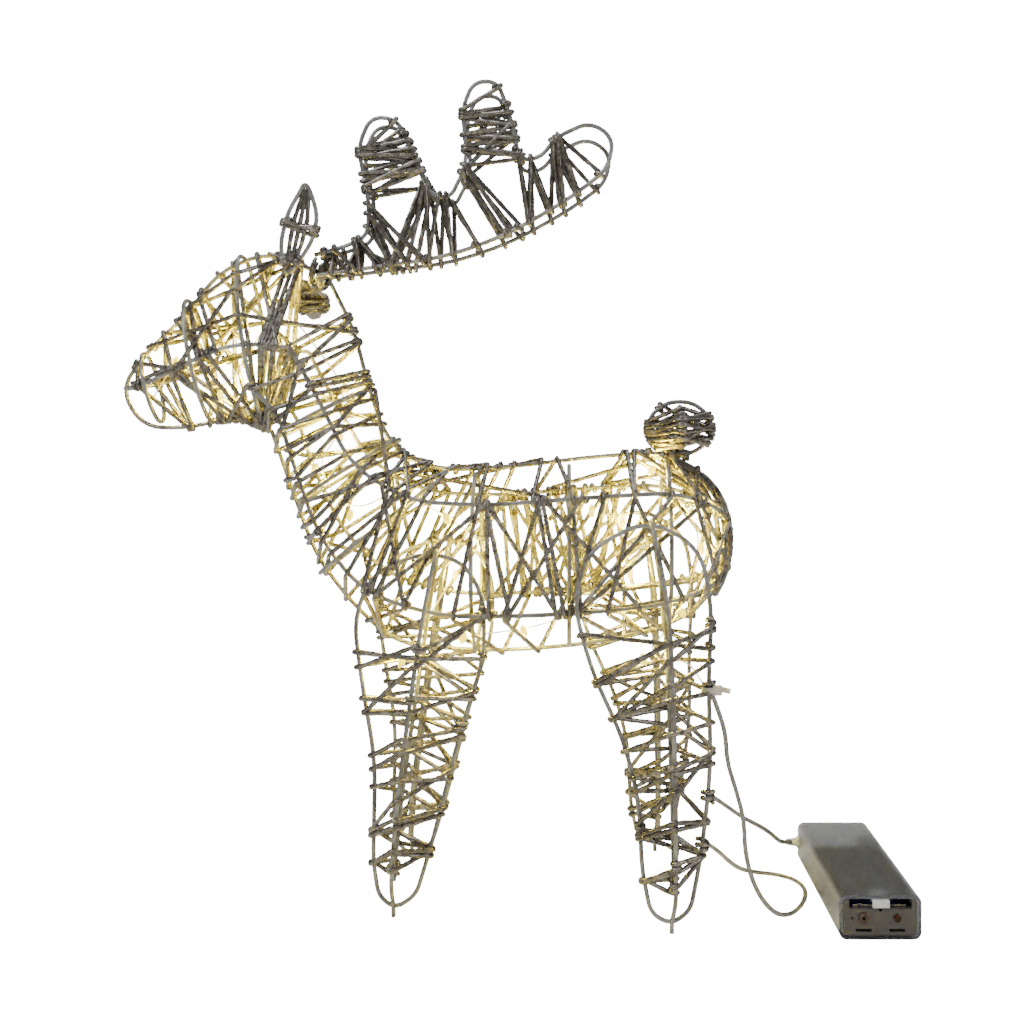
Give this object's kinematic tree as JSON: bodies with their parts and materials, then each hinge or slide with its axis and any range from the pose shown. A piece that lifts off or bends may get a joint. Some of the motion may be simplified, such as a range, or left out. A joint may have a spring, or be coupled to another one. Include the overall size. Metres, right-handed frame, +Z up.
{
  "type": "light up table reindeer",
  "caption": "Wire cage reindeer wound with silver strand and lit from inside by a light string, with a slide-out battery box on a thin lead.",
  "frame": {"origin": "on the surface it stands on, under the middle of the reindeer and its battery box together, the free leads left out", "axes": "+Z up, the nose towards -X, the reindeer's left side towards -Y"},
  "size_m": [0.3808, 0.1264, 0.3986],
  "materials": {
    "frame_wire": "satin grey, lightly worn",
    "wound_strand": "metallised silver strand, glossy",
    "string_wire": "clear insulated copper",
    "bulb": "clear bead, lit warm white",
    "tie": "natural nylon",
    "lead": "clear sheath over tinned copper",
    "frosted": "frosted translucent polypropylene",
    "holder": "moulded dark translucent plastic",
    "cell": "plain dark sleeve",
    "contact": "nickel plated",
    "rivet": "dull",
    "board": "solder mask",
    "chip": "moulded",
    "slider": "moulded, ribbed",
    "gland": "soft translucent"
  },
  "bodies": {
    "root": {"antler_strand_left": "wound_strand", "antler_strand_right": "wound_strand", "antler_wire_left": "frame_wire", "antler_wire_right": "frame_wire", "battery_housing": "frosted", "belly_wire": "frame_wire", "board_posts": "frosted", "body_strand": "wound_strand", "box_lead": "lead", "brow_hoop": "frame_wire", "cable_tie": "tie", "cheek_wire_left": "frame_wire", "cheek_wire_right": "frame_wire", "chest_hoop": "frame_wire", "circuit_board": "board", "ear_strands": "wound_strand", "ear_wire_left": "frame_wire", "ear_wire_right": "frame_wire", "face_hoop": "frame_wire", "front_leg_hairpin_left": "frame_wire", "front_leg_hairpin_right": "frame_wire", "front_leg_loop_left": "frame_wire", "front_leg_loop_right": "frame_wire", "front_leg_strand_left": "wound_strand", "front_leg_strand_right": "wound_strand", "head_strand": "wound_strand", "head_wire": "frame_wire", "hip_hoop": "frame_wire", "lead_gland": "gland", "light_bulbs": "bulb", "light_string": "string_wire", "loop_lead": "lead", "lower_rail_left": "frame_wire", "lower_rail_right": "frame_wire", "muzzle_hoop": "frame_wire", "neck_hoops": "frame_wire", "neck_strand": "wound_strand", "rear_leg_hairpin_left": "frame_wire", "rear_leg_hairpin_right": "frame_wire", "rear_leg_loop_left": "frame_wire", "rear_leg_loop_right": "frame_wire", "rear_leg_strand_left": "wound_strand", "rear_leg_strand_right": "wound_strand", "shoulder_hoop": "frame_wire", "spine_wire": "frame_wire", "switch_body": "chip", "tail_loops": "frame_wire", "tail_strand": "wound_strand", "timer_chip": "chip", "upper_rail_left": "frame_wire", "upper_rail_right": "frame_wire", "waist_hoop": "frame_wire"},
    "holder": {"battery_holder": "holder", "battery_cells": "cell", "contact_plates": "contact", "contact_springs": "contact", "terminal_eyelet": "contact", "terminal_rivet": "rivet"},
    "latch": {"latch_tongue": "holder"},
    "slider": {"switch_slider": "slider"}
  },
  "joints": [
    {"name": "holder_slide", "type": "slide", "parent": "root", "child": "holder", "axis": [0, -1, 0], "range_m": [0, 0.066]},
    {"name": "latch_flex", "type": "hinge", "parent": "holder", "child": "latch", "pos_m": [0.17029, -0.0506, 0.0175], "axis": [1, 0, 0], "range_deg": [0, 6], "stiffness_Nm_per_rad": 0.4},
    {"name": "switch_slide", "type": "slide", "parent": "root", "child": "slider", "axis": [0, 1, 0], "range_m": [0, 0.004]}
  ]
}
